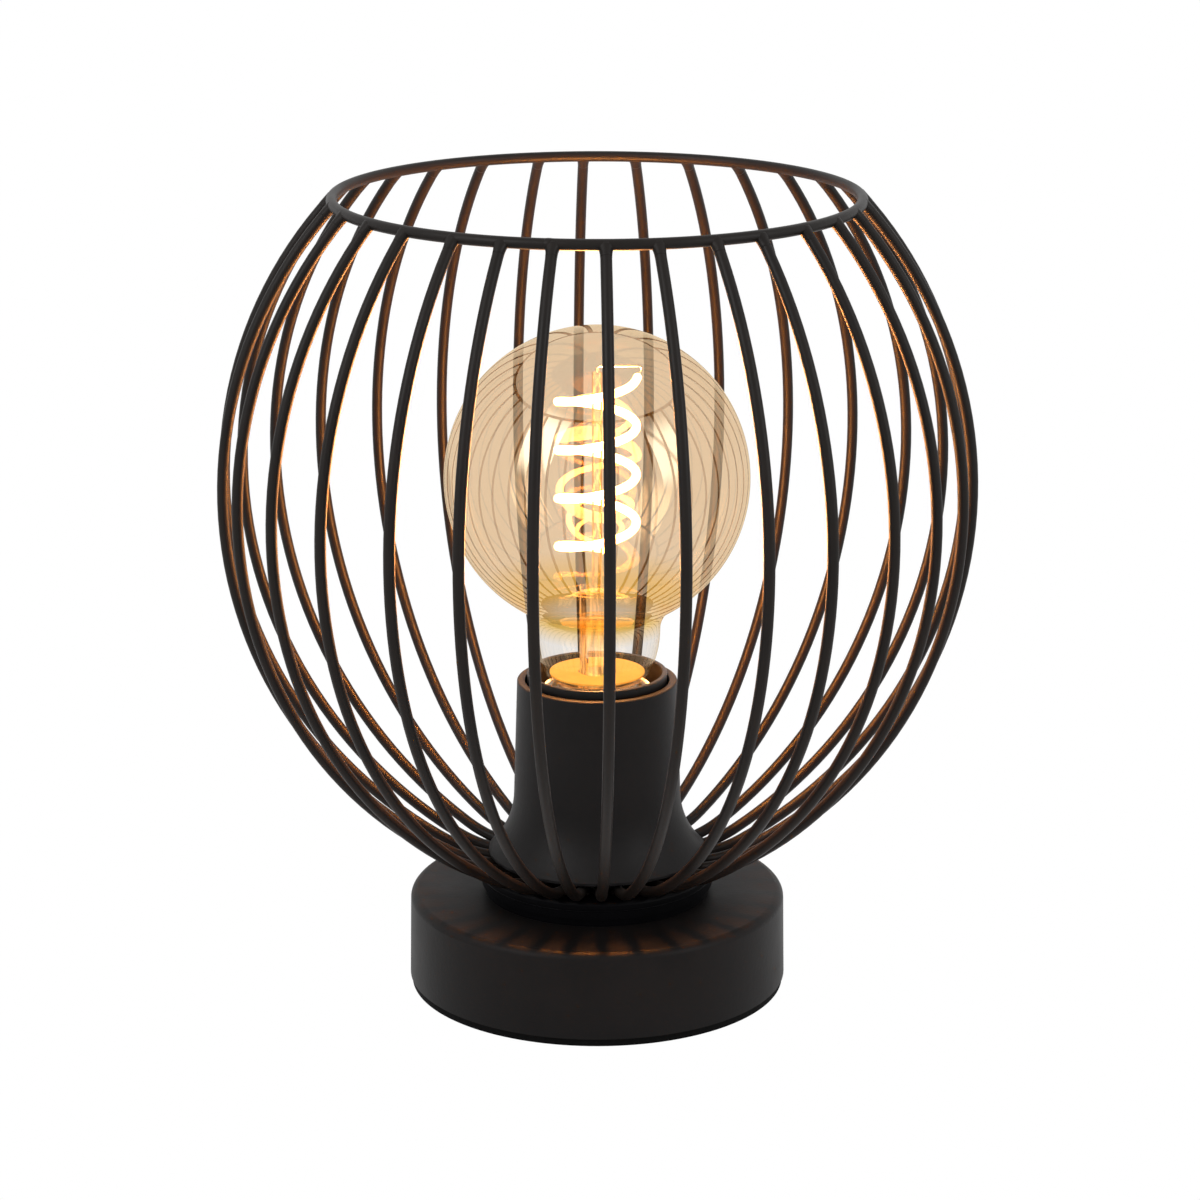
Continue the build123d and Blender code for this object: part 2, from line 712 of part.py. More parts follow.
# Driver board inside the screw cap, with a rectifier and a capacitor on it
board_bottom = cap_shell_bottom + insulator_plug + board_rise - insulator_rise
with BuildPart() as driver_board:
    with BuildSketch(Plane.XY.offset(board_bottom)) as board_section:
        Circle(neck_stub_radius)
    extrude(amount=-board_thickness)
    with BuildSketch(Plane.XY.offset(board_bottom)) as rectifier_section:
        with Locations((-board_part_distance, 0)):
            Rectangle(rectifier_length, rectifier_width)
    extrude(amount=rectifier_height)
    with BuildSketch(Plane.XY.offset(board_bottom)) as capacitor_section:
        with Locations((board_part_distance, 0)):
            Circle(capacitor_radius)
    extrude(amount=capacitor_height)
driver_board.part.label = "driver_board"
export_step(driver_board.part, "parts/driver_board.step")


# Half outline of the globe, its neck and its seat in the cap, drawn in from the outer face
def globe_outline(inset, bottom):
    ball = bulb_radius - inset
    neck = bulb_neck_radius - inset
    stub = neck_stub_radius - inset
    shoulder = shoulder_height + inset
    tilt = atan2(neck_run, bulb_neck_radius + neck_blend_radius)
    join = (ball * cos(tilt), globe_centre - ball * sin(tilt))
    heel = heel_edge_centre + Vector(cos(heel_tilt), -sin(heel_tilt)) * (bulb_heel_edge_radius - inset)
    Line((0, bottom), (0, globe_centre + ball))
    TangentArc((0, globe_centre + ball), join, tangent=(1, 0))
    TangentArc((neck, neck_height), join, tangent=(0, 1))
    TangentArc((neck, neck_height), heel, tangent=(0, -1))
    TangentArc(heel, (heel_edge_centre.X, shoulder), tangent=(-sin(heel_tilt), -cos(heel_tilt)))
    Polyline((heel_edge_centre.X, shoulder), (stub, shoulder), (stub, bottom), (0, bottom))


# Bulb glass: an even wall, open at the bottom of the neck
with BuildPart() as bulb_glass:
    with BuildSketch(Plane.XZ) as glass_section:
        with BuildLine():
            globe_outline(0, neck_stub_bottom)
        make_face()
    revolve(axis=Axis.Z)
    with BuildSketch(Plane.XZ) as hollow_section:
        with BuildLine():
            globe_outline(glass_wall, neck_stub_bottom - glass_wall)
        make_face()
    revolve(axis=Axis.Z, mode=Mode.SUBTRACT)
bulb_glass.part.label = "bulb_glass"
export_step(bulb_glass.part, "parts/bulb_glass.step")

# Stem: a flared glass tube, pinched flat at the top round a long pillar
stem_bottom = neck_stub_bottom + thread_side_gap
flare_radius = neck_stub_radius - glass_wall - thread_side_gap
tube_top = seat_height + stem_tube_rise
pillar_top = seat_height + pillar_rise
press_top = tube_top + press_height
with BuildPart() as bulb_stem:
    with BuildSketch(Plane.XZ) as stem_section:
        with BuildLine():
            TangentArc(
                (stem_radius, stem_bottom + stem_flare_height), (flare_radius, stem_bottom), tangent=(0, -1)
            )
            Polyline(
                (flare_radius, stem_bottom),
                (0, stem_bottom),
                (0, tube_top),
                (stem_radius, tube_top),
                (stem_radius, stem_bottom + stem_flare_height),
            )
        make_face()
    revolve(axis=Axis.Z)
    offset(amount=-stem_wall, openings=bulb_stem.faces().sort_by(Axis.Z)[0])
    with BuildSketch(Plane.XY.offset(tube_top - stem_wall)) as press_section:
        RectangleRounded(press_width, press_depth, press_edge_radius)
    extrude(amount=press_height + stem_wall)
    with BuildSketch(Plane.XY.offset(press_top)) as pillar_section:
        Circle(pillar_radius)
    extrude(amount=pillar_top - press_top)
bulb_stem.part.label = "bulb_stem"
export_step(bulb_stem.part, "parts/bulb_stem.step")

# Thin disc round the stem, across the bottom of the neck
with BuildPart() as neck_disc:
    with BuildSketch(Plane.XY.offset(shoulder_height + glass_wall + neck_disc_rise)) as disc_section:
        Circle(bulb_heel_radius - glass_wall - neck_disc_gap)
        Circle(stem_radius + neck_disc_hole_gap, mode=Mode.SUBTRACT)
    extrude(amount=neck_disc_thickness)
neck_disc.part.label = "neck_disc"
export_step(neck_disc.part, "parts/neck_disc.step")

# Filament: one unbroken coil, its ends running straight on for one tube diameter
filament_top = seat_height + filament_top_rise
filament_bottom = filament_top - filament_turns * filament_pitch
filament_bottom_angle = filament_top_angle - filament_turns * 360
end_run = 2 * filament_radius
top_point = around(filament_top_angle, filament_coil_radius, filament_top)
top_way = climb(filament_top_angle, filament_coil_radius, filament_pitch)
bottom_point = around(filament_bottom_angle, filament_coil_radius, filament_bottom)
bottom_way = climb(filament_bottom_angle, filament_coil_radius, filament_pitch)
top_end = top_point + top_way * end_run
bottom_end = bottom_point - bottom_way * end_run
with BuildPart() as bulb_filament:
    with BuildLine() as filament_path:
        Line(bottom_end, bottom_point)
        helix_arcs(
            filament_coil_radius, filament_pitch, filament_bottom_angle, filament_bottom, filament_turns
        )
        Line(top_point, top_end)
    with BuildSketch(Plane(origin=bottom_end, z_dir=bottom_way)):
        Circle(filament_radius)
    sweep(path=filament_path.line)
bulb_filament.part.label = "bulb_filament"
export_step(bulb_filament.part, "parts/bulb_filament.step")

# The coil's least gap to itself, between points at least half a turn apart
coil_points = []
points_per_turn = 48
for step in range(round(filament_turns * points_per_turn) + 1):
    turned = step / points_per_turn
    coil_points.append(
        around(
            filament_bottom_angle + 360 * turned,
            filament_coil_radius,
            filament_bottom + filament_pitch * turned,
        )
    )
least_gap = min(
    (coil_points[first] - coil_points[second]).length - 2 * filament_radius
    for first in range(len(coil_points))
    for second in range(first + points_per_turn // 2, len(coil_points))
)
print("filament's least gap to itself:", round(least_gap, 2), "mm")

# Support wires: one from the pillar's tip to the coil's upper end, one from the press to its lower end
end_gap = support_radius + support_gap
top_meeting = top_end + top_way * end_gap
bottom_meeting = bottom_end - bottom_way * end_gap
with BuildPart() as filament_leads:
    arm_height = pillar_top + support_reach
    with BuildLine() as upper_support:
        FilletPolyline(
            (0, 0, pillar_top),
            (0, 0, arm_height),
            (top_meeting.X + support_reach, top_meeting.Y, arm_height),
            top_meeting,
            radius=support_bend_radius,
        )
    with BuildSketch(Plane(origin=(0, 0, pillar_top), z_dir=(0, 0, 1))):
        Circle(support_radius)
    sweep(path=upper_support.line)
    with BuildLine() as lower_support:
        FilletPolyline(
            (lower_support_side, 0, press_top),
            (lower_support_side, 0, press_top + support_reach),
            bottom_meeting,
            radius=support_bend_radius,
        )
    with BuildSketch(Plane(origin=(lower_support_side, 0, press_top), z_dir=(0, 0, 1))):
        Circle(support_radius)
    sweep(path=lower_support.line)
filament_leads.part.label = "filament_leads"
export_step(filament_leads.part, "parts/filament_leads.step")

# Terminal block on the bottom plate, with two wire holes and a pair of screws over each
block_top = floor_plate_top + block_height
wire_hole_height = floor_plate_top + block_wire_height
wire_hole_radius = lead_radius + lead_hole_gap
with BuildPart() as terminal_block:
    with BuildSketch(Plane.XY.offset(floor_plate_top)) as block_section:
        with Locations((0, block_place)):
            RectangleRounded(block_length, block_depth, block_edge_radius)
    extrude(amount=block_height)
    with BuildSketch(Plane.XY.offset(block_top)) as block_screw_holes:
        with Locations((0, block_place)):
            with GridLocations(block_pole_distance, block_screw_distance, 2, 2):
                Circle(small_screw_radius + small_screw_gap)
    extrude(amount=wire_hole_height - block_top, mode=Mode.SUBTRACT)
    block_back = block_place + block_depth / 2
    with BuildSketch(Plane(origin=(0, block_back, wire_hole_height), x_dir=(1, 0, 0), z_dir=(0, 1, 0))):
        with GridLocations(block_pole_distance, 0, 2, 1):
            Circle(wire_hole_radius)
    extrude(amount=-block_depth, mode=Mode.SUBTRACT)
terminal_block.part.label = "terminal_block"
export_step(terminal_block.part, "parts/terminal_block.step")

# Equal small screws: two in the holder's contacts and four in the terminal block
holder_screw_seats = (
    (-contact_screw_place, 0, channel_floor + contact_thickness),
    (contact_screw_place, 0, seat_height),
)
block_screw_seats = tuple(
    (side * block_pole_distance / 2, block_place + end * block_screw_distance / 2, block_top)
    for side in (-1, 1)
    for end in (-1, 1)
)
with BuildPart() as terminal_screws:
    for seat in holder_screw_seats + block_screw_seats:
        with BuildSketch(Plane(origin=seat)) as small_head:
            Circle(small_head_radius)
            Rectangle(2 * small_head_radius, small_slot_width, mode=Mode.SUBTRACT)
        extrude(amount=small_head_height)
        with BuildSketch(Plane(origin=seat)) as small_head_web:
            Circle(small_head_radius)
        extrude(amount=small_head_height - small_slot_depth)
        with BuildSketch(Plane(origin=seat)) as small_shank:
            Circle(small_screw_radius)
        extrude(amount=-small_screw_length)
terminal_screws.part.label = "terminal_screws"
export_step(terminal_screws.part, "parts/terminal_screws.step")

# Two leads, alike but for their side: from the block up through the threaded tube to the holder
lead_start = block_place - block_screw_distance / 2
lead_end_height = cap_top + lead_entry_depth
for side, name in ((-1, "lead_live"), (1, "lead_neutral")):
    block_side = side * block_pole_distance / 2
    tube_side = side * lead_distance / 2
    with BuildPart() as lead:
        with BuildLine() as lead_path:
            FilletPolyline(
                (block_side, lead_start, wire_hole_height),
                (block_side, block_place - block_depth / 2 - lead_straight_length, wire_hole_height),
                (tube_side, 0, wire_hole_height),
                (tube_side, 0, nipple_top + lead_tube_overhang),
                (side * lead_hole_side, lead_hole_place, lead_end_height - lead_end_length),
                (side * lead_hole_side, lead_hole_place, lead_end_height),
                radius=(
                    lead_lower_bend_radius,
                    lead_lower_bend_radius,
                    lead_upper_bend_radius,
                    lead_upper_bend_radius,
                ),
            )
        with BuildSketch(Plane(origin=lead_path.line @ 0, z_dir=lead_path.line % 0)):
            Circle(lead_radius)
        sweep(path=lead_path.line)
    lead.part.label = name
    export_step(lead.part, f"parts/{name}.step")
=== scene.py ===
import math

import bmesh
import bpy
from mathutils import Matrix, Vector, noise


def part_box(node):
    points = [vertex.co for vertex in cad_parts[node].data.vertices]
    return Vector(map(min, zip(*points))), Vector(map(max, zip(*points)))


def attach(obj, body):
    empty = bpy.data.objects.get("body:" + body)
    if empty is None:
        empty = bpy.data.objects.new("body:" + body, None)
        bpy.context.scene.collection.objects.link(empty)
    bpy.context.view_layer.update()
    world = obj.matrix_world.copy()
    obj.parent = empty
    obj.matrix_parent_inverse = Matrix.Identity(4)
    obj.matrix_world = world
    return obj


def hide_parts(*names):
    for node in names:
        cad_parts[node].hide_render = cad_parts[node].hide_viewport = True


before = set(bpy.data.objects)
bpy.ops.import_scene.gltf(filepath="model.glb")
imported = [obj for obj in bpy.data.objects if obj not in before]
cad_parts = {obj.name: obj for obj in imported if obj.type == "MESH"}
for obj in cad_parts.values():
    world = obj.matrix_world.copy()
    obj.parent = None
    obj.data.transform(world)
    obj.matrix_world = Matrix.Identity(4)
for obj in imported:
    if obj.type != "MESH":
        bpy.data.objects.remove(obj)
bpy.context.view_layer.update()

# The camera, from the photograph's own ellipses
camera_distance = 1.0681
camera_height = 0.4311
camera_side = 0.0009
camera_pitch = math.radians(15.98)
focal_pixels = 3552
photo_pixels = 1200
sensor_width = 36

# The cage, as it is in the frame
wire_radius = 0.0017
ring_low, ring_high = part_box("top_ring")
ring_height = (ring_low.z + ring_high.z) / 2
ring_radius = ring_high.x - wire_radius
plate_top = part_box("cage_plate")[1].z
belly_height = 0.1621
belly_radius = 0.1158
foot_outer_radius = 0.028

# The globe, as it is in the frame; its neck is set out from the seat of the bulb
bulb_length = 0.138
globe_low, globe_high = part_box("bulb_glass")
globe_radius = globe_high.x
globe_centre = globe_high.z - globe_radius
seat_height = globe_high.z - bulb_length
neck_radius = 0.0198
neck_height = seat_height + 0.042
heel_radius = 0.01635
heel_height = seat_height + 0.0275
heel_edge_radius = 0.002
stub_radius = 0.01075

# The amber film on the globe sets in at the first height, is a full mirror film at the second and
# has lost its olive band at the third
film_start = 0.1150
film_full = 0.1278
film_even = 0.1320


# Small helpers for shader nodes, in a new material or in the node tree of a lamp or a world
class Shader:
    def __init__(self, name=None, tree=None, output_kind="Material"):
        if tree is None:
            self.material = bpy.data.materials.new(name)
            self.material.use_nodes = True
            tree = self.material.node_tree
        self.tree = tree
        self.tree.nodes.clear()
        self.output = self.node("Output" + output_kind)

    def node(self, kind, **settings):
        made = self.tree.nodes.new("ShaderNode" + kind)
        for key, value in settings.items():
            setattr(made, key, value)
        return made

    def join(self, source, target):
        self.tree.links.new(source, target)

    def surface(self, source):
        self.join(source, self.output.inputs["Surface"])

    def place(self):
        return self.node("TexCoord").outputs["Object"]

    def noise(self, scale, detail=4.0, roughness=0.55, stretch=None):
        made = self.node("TexNoise")
        made.inputs["Scale"].default_value = scale
        made.inputs["Detail"].default_value = detail
        made.inputs["Roughness"].default_value = roughness
        place = self.place()
        if stretch is not None:
            mapping = self.node("Mapping")
            mapping.inputs["Scale"].default_value = stretch
            self.join(place, mapping.inputs["Vector"])
            place = mapping.outputs["Vector"]
        self.join(place, made.inputs["Vector"])
        return made.outputs["Fac"]

    def spread(self, source, low, high, to_low, to_high):
        made = self.node("MapRange")
        made.inputs["From Min"].default_value = low
        made.inputs["From Max"].default_value = high
        made.inputs["To Min"].default_value = to_low
        made.inputs["To Max"].default_value = to_high
        self.join(source, made.inputs["Value"])
        return made.outputs["Result"]

    def ramp(self, source, stops):
        made = self.node("ValToRGB")
        elements = made.color_ramp.elements
        while len(elements) < len(stops):
            elements.new(0.5)
        for element, (position, colour) in zip(elements, stops):
            element.position = position
            element.color = (*colour, 1.0)
        self.join(source, made.inputs["Fac"])
        return made.outputs["Color"]

    def bump(self, source, strength, depth, base=None):
        made = self.node("Bump")
        made.inputs["Strength"].default_value = strength
        made.inputs["Distance"].default_value = depth
        self.join(source, made.inputs["Height"])
        if base is not None:
            self.join(base, made.inputs["Normal"])
        return made.outputs["Normal"]

    def principled(self, **values):
        made = self.node("BsdfPrincipled")
        for key, value in values.items():
            made.inputs[key.replace("_", " ")].default_value = value
        return made


# Black powder coat: fine grain, faint orange peel and a few lighter specks
def powder_coat(name, dark, light, smooth, rough, shine):
    shader = Shader(name)
    coat = shader.principled()
    coat.inputs["Specular IOR Level"].default_value = shine
    patches = shader.noise(45, detail=3.0)
    grain = shader.noise(2600, detail=2.0)
    colour = shader.ramp(patches, [(0.35, dark), (0.65, light)])
    specks = shader.ramp(grain, [(0.70, (0.0, 0.0, 0.0)), (0.78, (0.008, 0.008, 0.008))])
    both = shader.node("Mix", data_type="RGBA", blend_type="ADD")
    both.inputs["Factor"].default_value = 1.0
    shader.join(colour, both.inputs["A"])
    shader.join(specks, both.inputs["B"])
    shader.join(both.outputs["Result"], coat.inputs["Base Color"])
    shader.join(shader.spread(patches, 0.3, 0.7, smooth, rough), coat.inputs["Roughness"])
    peel = shader.bump(shader.noise(700, detail=1.0), 0.25, 0.00012)
    shader.join(shader.bump(grain, 0.18, 0.00006, peel), coat.inputs["Normal"])
    shader.surface(coat.outputs["BSDF"])
    return shader.material


# Bare or plated metal with fine turning marks and slight stains
def plain_metal(name, bright, dull, smooth, rough, stretch):
    shader = Shader(name)
    metal = shader.principled(Metallic=1.0)
    stain = shader.noise(90, detail=5.0)
    marks = shader.noise(500, detail=3.0, stretch=stretch)
    shader.join(shader.ramp(stain, [(0.3, dull), (0.7, bright)]), metal.inputs["Base Color"])
    shader.join(shader.spread(stain, 0.3, 0.7, rough, smooth), metal.inputs["Roughness"])
    shader.join(shader.bump(marks, 0.2, 0.00005), metal.inputs["Normal"])
    shader.surface(metal.outputs["BSDF"])
    return shader.material


# Moulded plastic or rubber with a soft grain
def moulded(name, dark, light, roughness, grain_scale, depth, shine=0.5):
    shader = Shader(name)
    body = shader.principled(Roughness=roughness)
    body.inputs["Specular IOR Level"].default_value = shine
    clouds = shader.noise(60, detail=4.0)
    grain = shader.noise(grain_scale, detail=3.0)
    shader.join(shader.ramp(clouds, [(0.3, dark), (0.7, light)]), body.inputs["Base Color"])
    shader.join(
        shader.spread(grain, 0.3, 0.7, roughness * 0.9, roughness * 1.1), body.inputs["Roughness"]
    )
    shader.join(shader.bump(grain, 0.3, depth), body.inputs["Normal"])
    shader.surface(body.outputs["BSDF"])
    return shader.material


# Circuit board: green lacquer over paler copper tracks
def circuit_board(name):
    shader = Shader(name)
    board = shader.principled(Roughness=0.35)
    cells = shader.node("TexVoronoi", feature="DISTANCE_TO_EDGE")
    cells.inputs["Scale"].default_value = 420
    shader.join(shader.place(), cells.inputs["Vector"])
    tracks = shader.ramp(
        cells.outputs["Distance"], [(0.06, (0.10, 0.34, 0.14)), (0.14, (0.015, 0.11, 0.045))]
    )
    shader.join(tracks, board.inputs["Base Color"])
    shader.join(shader.bump(cells.outputs["Distance"], 0.3, 0.0001), board.inputs["Normal"])
    shader.surface(board.outputs["BSDF"])
    return shader.material


# Amber lustre on thin glass: it tints what it passes, mirrors a part, and thins out at the neck
def lustre_glass(name):
    shader = Shader(name)
    height = shader.node("SeparateXYZ")
    shader.join(shader.place(), height.inputs["Vector"])
    coated = shader.spread(height.outputs["Z"], film_start, film_full, 0.0, 1.0)
    streaks = shader.noise(35, detail=3.0)
    bare, olive, amber = (0.90, 0.885, 0.87), (0.92, 0.60, 0.14), (0.89, 0.76, 0.62)
    rising = shader.spread(height.outputs["Z"], film_start, film_even, 0.0, 1.0)
    tint = shader.ramp(rising, [(0.0, bare), (0.40, olive), (0.60, olive), (1.0, amber)])
    clear = shader.node("BsdfTransparent")
    shader.join(tint, clear.inputs["Color"])
    mirror = shader.node("BsdfGlossy")
    lustre_tone = shader.ramp(streaks, [(0.3, (0.84, 0.66, 0.42)), (0.7, (0.88, 0.73, 0.52))])
    shader.join(lustre_tone, mirror.inputs["Color"])
    mirror.inputs["Roughness"].default_value = 0.015
    edge = shader.node("LayerWeight")
    edge.inputs["Blend"].default_value = 0.35
    facing_share = shader.spread(coated, 0.0, 1.0, 0.04, 0.24)
    grazing = shader.node("Math", operation="POWER")
    shader.join(edge.outputs["Facing"], grazing.inputs[0])
    grazing.inputs[1].default_value = 3.0
    share = shader.node("Math", operation="ADD", use_clamp=True)
    shader.join(facing_share, share.inputs[0])
    shader.join(grazing.outputs["Value"], share.inputs[1])
    film = shader.node("MixShader")
    shader.join(share.outputs["Value"], film.inputs["Fac"])
    shader.join(clear.outputs["BSDF"], film.inputs[1])
    shader.join(mirror.outputs["BSDF"], film.inputs[2])
    shader.surface(film.outputs["Shader"])
    return shader.material


# Clear glass of the stem, with a painted orange glow in fine upright lines in place of the
# filament's light carried in the glass
def stem_glass(name):
    shader = Shader(name)
    ripple = shader.noise(160, detail=2.0)
    clear = shader.node("BsdfTransparent")
    stem_tone = shader.ramp(ripple, [(0.3, (0.93, 0.86, 0.74)), (0.7, (0.97, 0.93, 0.86))])
    shader.join(stem_tone, clear.inputs["Color"])
    mirror = shader.node("BsdfGlossy")
    mirror.inputs["Color"].default_value = (0.95, 0.86, 0.7, 1.0)
    mirror.inputs["Roughness"].default_value = 0.05
    shader.join(shader.bump(ripple, 0.5, 0.0006), mirror.inputs["Normal"])
    edge = shader.node("Fresnel")
    edge.inputs["IOR"].default_value = 1.5
    film = shader.node("MixShader")
    shader.join(edge.outputs["Fac"], film.inputs["Fac"])
    shader.join(clear.outputs["BSDF"], film.inputs[1])
    shader.join(mirror.outputs["BSDF"], film.inputs[2])
    # Painted glow in fine upright lines, in place of the filament's light in the stem
    stem_painted_glow = shader.node("Emission")
    stem_painted_glow.inputs["Color"].default_value = (1.0, 0.52, 0.19, 1.0)
    painted_glow_lines = shader.noise(700, detail=2.0, stretch=(1, 1, 0.12))
    shader.join(shader.spread(painted_glow_lines, 0.45, 0.65, 0.04, 0.5), stem_painted_glow.inputs["Strength"])
    both = shader.node("AddShader")
    shader.join(film.outputs["Shader"], both.inputs[0])
    shader.join(stem_painted_glow.outputs["Emission"], both.inputs[1])
    shader.surface(both.outputs["Shader"])
    return shader.material


# Thin disc at the bottom of the neck, with a painted warm yellow glow in place of the filament's
# light from above
def painted_glow_disc(name):
    shader = Shader(name)
    disc = shader.principled(Roughness=0.6)
    clouds = shader.noise(140, detail=3.0)
    painted_glow_tone = shader.ramp(clouds, [(0.3, (1.0, 0.37, 0.04)), (0.7, (1.0, 0.52, 0.08))])
    disc.inputs["Base Color"].default_value = (0.6, 0.3, 0.05, 1.0)
    # Painted glow: emission that stands in for the filament's light falling on the disc
    shader.join(painted_glow_tone, disc.inputs["Emission Color"])
    disc.inputs["Emission Strength"].default_value = 0.66
    shader.join(shader.bump(clouds, 0.2, 0.0001), disc.inputs["Normal"])
    shader.surface(disc.outputs["BSDF"])
    return shader.material


# The filament's silicone coat, lit from inside by its row of chips
def glowing_filament(name, colour, strength):
    shader = Shader(name)
    coat = shader.principled(Roughness=0.45)
    coat.inputs["Base Color"].default_value = (1.0, 0.72, 0.3, 1.0)
    coat.inputs["Emission Color"].default_value = (*colour, 1.0)
    coat.inputs["Emission Strength"].default_value = strength
    shader.join(shader.bump(shader.noise(1500), 0.2, 0.00005), coat.inputs["Normal"])
    shader.surface(coat.outputs["BSDF"])
    return shader.material


# The cage's black coat, with a warm brown tint in it that is painted warm light from the bulb on
# the wires
cage_coat = powder_coat(
    "black_powder_coat", (0.007, 0.005, 0.004), (0.011, 0.008, 0.0065), 0.40, 0.50, 0.18
)
base_coat = powder_coat(
    "base_powder_coat", (0.0042, 0.0034, 0.0034), (0.0068, 0.0058, 0.0058), 0.44, 0.54, 0.12
)
# The cage plate: the same black powder coat, made darker and with less shine as painted shade for
# the plate sitting in shadow
plate_coat_painted_shade = powder_coat(
    "plate_powder_coat_painted_shade", (0.001, 0.001, 0.0014), (0.002, 0.002, 0.0028), 0.40, 0.50, 0.05
)
cover_coat = powder_coat(
    "cover_satin_coat", (0.006, 0.0055, 0.0056), (0.009, 0.0083, 0.0085), 0.42, 0.50, 0.15
)
zinc = plain_metal("zinc_plate", (0.70, 0.70, 0.67), (0.48, 0.48, 0.45), 0.28, 0.45, (1, 1, 8))
brass = plain_metal("brass", (0.80, 0.60, 0.28), (0.58, 0.42, 0.18), 0.25, 0.42, (1, 1, 6))
nickel = plain_metal("nickel_plate", (0.76, 0.74, 0.70), (0.56, 0.53, 0.48), 0.22, 0.38, (1, 1, 10))
rubber = moulded(
    "black_rubber", (0.002, 0.002, 0.002), (0.004, 0.004, 0.004), 0.8, 900, 0.00012, 0.06
)
phenolic = moulded(
    "black_phenolic", (0.005, 0.0045, 0.0045), (0.008, 0.0075, 0.007), 0.34, 500, 0.00004, 0.2
)
pale_plastic = moulded("pale_plastic", (0.62, 0.60, 0.55), (0.72, 0.70, 0.65), 0.45, 700, 0.00006)
live_plastic = moulded(
    "brown_insulation", (0.15, 0.05, 0.02), (0.22, 0.08, 0.035), 0.45, 900, 0.00005
)
neutral_plastic = moulded(
    "blue_insulation", (0.02, 0.08, 0.32), (0.03, 0.12, 0.42), 0.45, 900, 0.00005
)
cap_glass = moulded(
    "black_cap_glass", (0.006, 0.006, 0.007), (0.012, 0.012, 0.013), 0.16, 300, 0.00003
)
board = circuit_board("circuit_board")
lustre = lustre_glass("amber_lustre_glass")
# The stem glass's material, with its painted glow
clear_stem = stem_glass("stem_glass")
glow = glowing_filament("filament_glow", (1.0, 0.62, 0.26), 12.0)
# The neck disc's material, with its painted glow
disc_painted_glow = painted_glow_disc("neck_disc_painted_glow")

finish = {
    "foot_pad": rubber,
    "cord_grommet": rubber,
    "bottom_plate": zinc,
    "bottom_plate_screws": zinc,
    "base_drum": base_coat,
    "cage_plate": plate_coat_painted_shade,
    "top_ring": cage_coat,
    "holder_cover": cover_coat,
    "holder_cap": phenolic,
    "holder_sleeve": phenolic,
    "holder_insert": pale_plastic,
    "terminal_block": pale_plastic,
    "lead_live": live_plastic,
    "lead_neutral": neutral_plastic,
    "nipple": zinc,
    "nipple_nuts": zinc,
    "lock_washers": zinc,
    "terminal_screws": zinc,
    "screw_shell": brass,
    "centre_contact": brass,
    "shell_contact": brass,
    "cap_contact": brass,
    "bulb_cap": nickel,
    "filament_leads": zinc,
    "cap_insulator": cap_glass,
    "driver_board": board,
    "bulb_glass": lustre,
    "bulb_stem": clear_stem,
    "neck_disc": disc_painted_glow,
    "bulb_filament": glow,
}
for name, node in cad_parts.items():
    node.data.materials.clear()
    node.data.materials.append(finish.get(name, cage_coat))


# Point at an angle turned from the front towards the right
def around(angle, radius, height):
    return Vector((radius * math.sin(angle), -radius * math.cos(angle), height))


# A new mesh piece on a body, with its material and smooth shading
def piece(name, mesh_builder, material, body):
    mesh = bpy.data.meshes.new(name)
    mesh_builder.to_mesh(mesh)
    mesh_builder.free()
    mesh.polygons.foreach_set("use_smooth", [True] * len(mesh.polygons))
    mesh.materials.append(material)
    made = bpy.data.objects.new(name, mesh)
    bpy.context.scene.collection.objects.link(made)
    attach(made, body)
    return made


# Faces between rows of points, each row a closed loop, with both ends capped on request
def skin(mesh_builder, rows, capped=False):
    loops = [[mesh_builder.verts.new(point) for point in row] for row in rows]
    for lower, upper in zip(loops, loops[1:]):
        for i in range(len(lower)):
            j = (i + 1) % len(lower)
            mesh_builder.faces.new((lower[i], lower[j], upper[j], upper[i]))
    if capped:
        mesh_builder.faces.new(list(reversed(loops[0])))
        mesh_builder.faces.new(loops[-1])


# The globe as one smooth turned sheet: ball, hollow curve, bulging neck, rounded heel and seat
def globe_profile():
    run = globe_centre - neck_height
    blend = (run ** 2 + neck_radius ** 2 - globe_radius ** 2) / (2 * (globe_radius - neck_radius))
    tilt = math.atan2(run, neck_radius + blend)
    drop = neck_height - heel_height
    inward = neck_radius - heel_radius
    bulge = (inward ** 2 + drop ** 2) / (2 * inward)
    heel_tilt = math.asin(drop / bulge)
    points = []
    ball_steps, neck_steps, heel_steps, corner_steps = 64, 20, 14, 8
    for i in range(ball_steps + 1):
        angle = math.pi / 2 - (math.pi / 2 + tilt) * i / ball_steps
        across, up = globe_radius * math.cos(angle), globe_radius * math.sin(angle)
        points.append((across, globe_centre + up))
    for i in range(1, neck_steps + 1):
        angle = tilt * (1 - i / neck_steps)
        across, up = blend * (1 - math.cos(angle)), blend * math.sin(angle)
        points.append((neck_radius + across, neck_height + up))
    for i in range(1, heel_steps + 1):
        angle = heel_tilt * i / heel_steps
        across, down = bulge * (1 - math.cos(angle)), bulge * math.sin(angle)
        points.append((neck_radius - across, neck_height - down))
    edge_place = heel_radius - heel_edge_radius * math.cos(heel_tilt)
    edge_height = heel_height + heel_edge_radius * math.sin(heel_tilt)
    for i in range(1, corner_steps + 1):
        angle = heel_tilt + (math.pi / 2 - heel_tilt) * i / corner_steps
        across, down = heel_edge_radius * math.cos(angle), heel_edge_radius * math.sin(angle)
        points.append((edge_place + across, edge_height - down))
    points.append((stub_radius, edge_height - heel_edge_radius))
    points.append((stub_radius, globe_low.z))
    return points


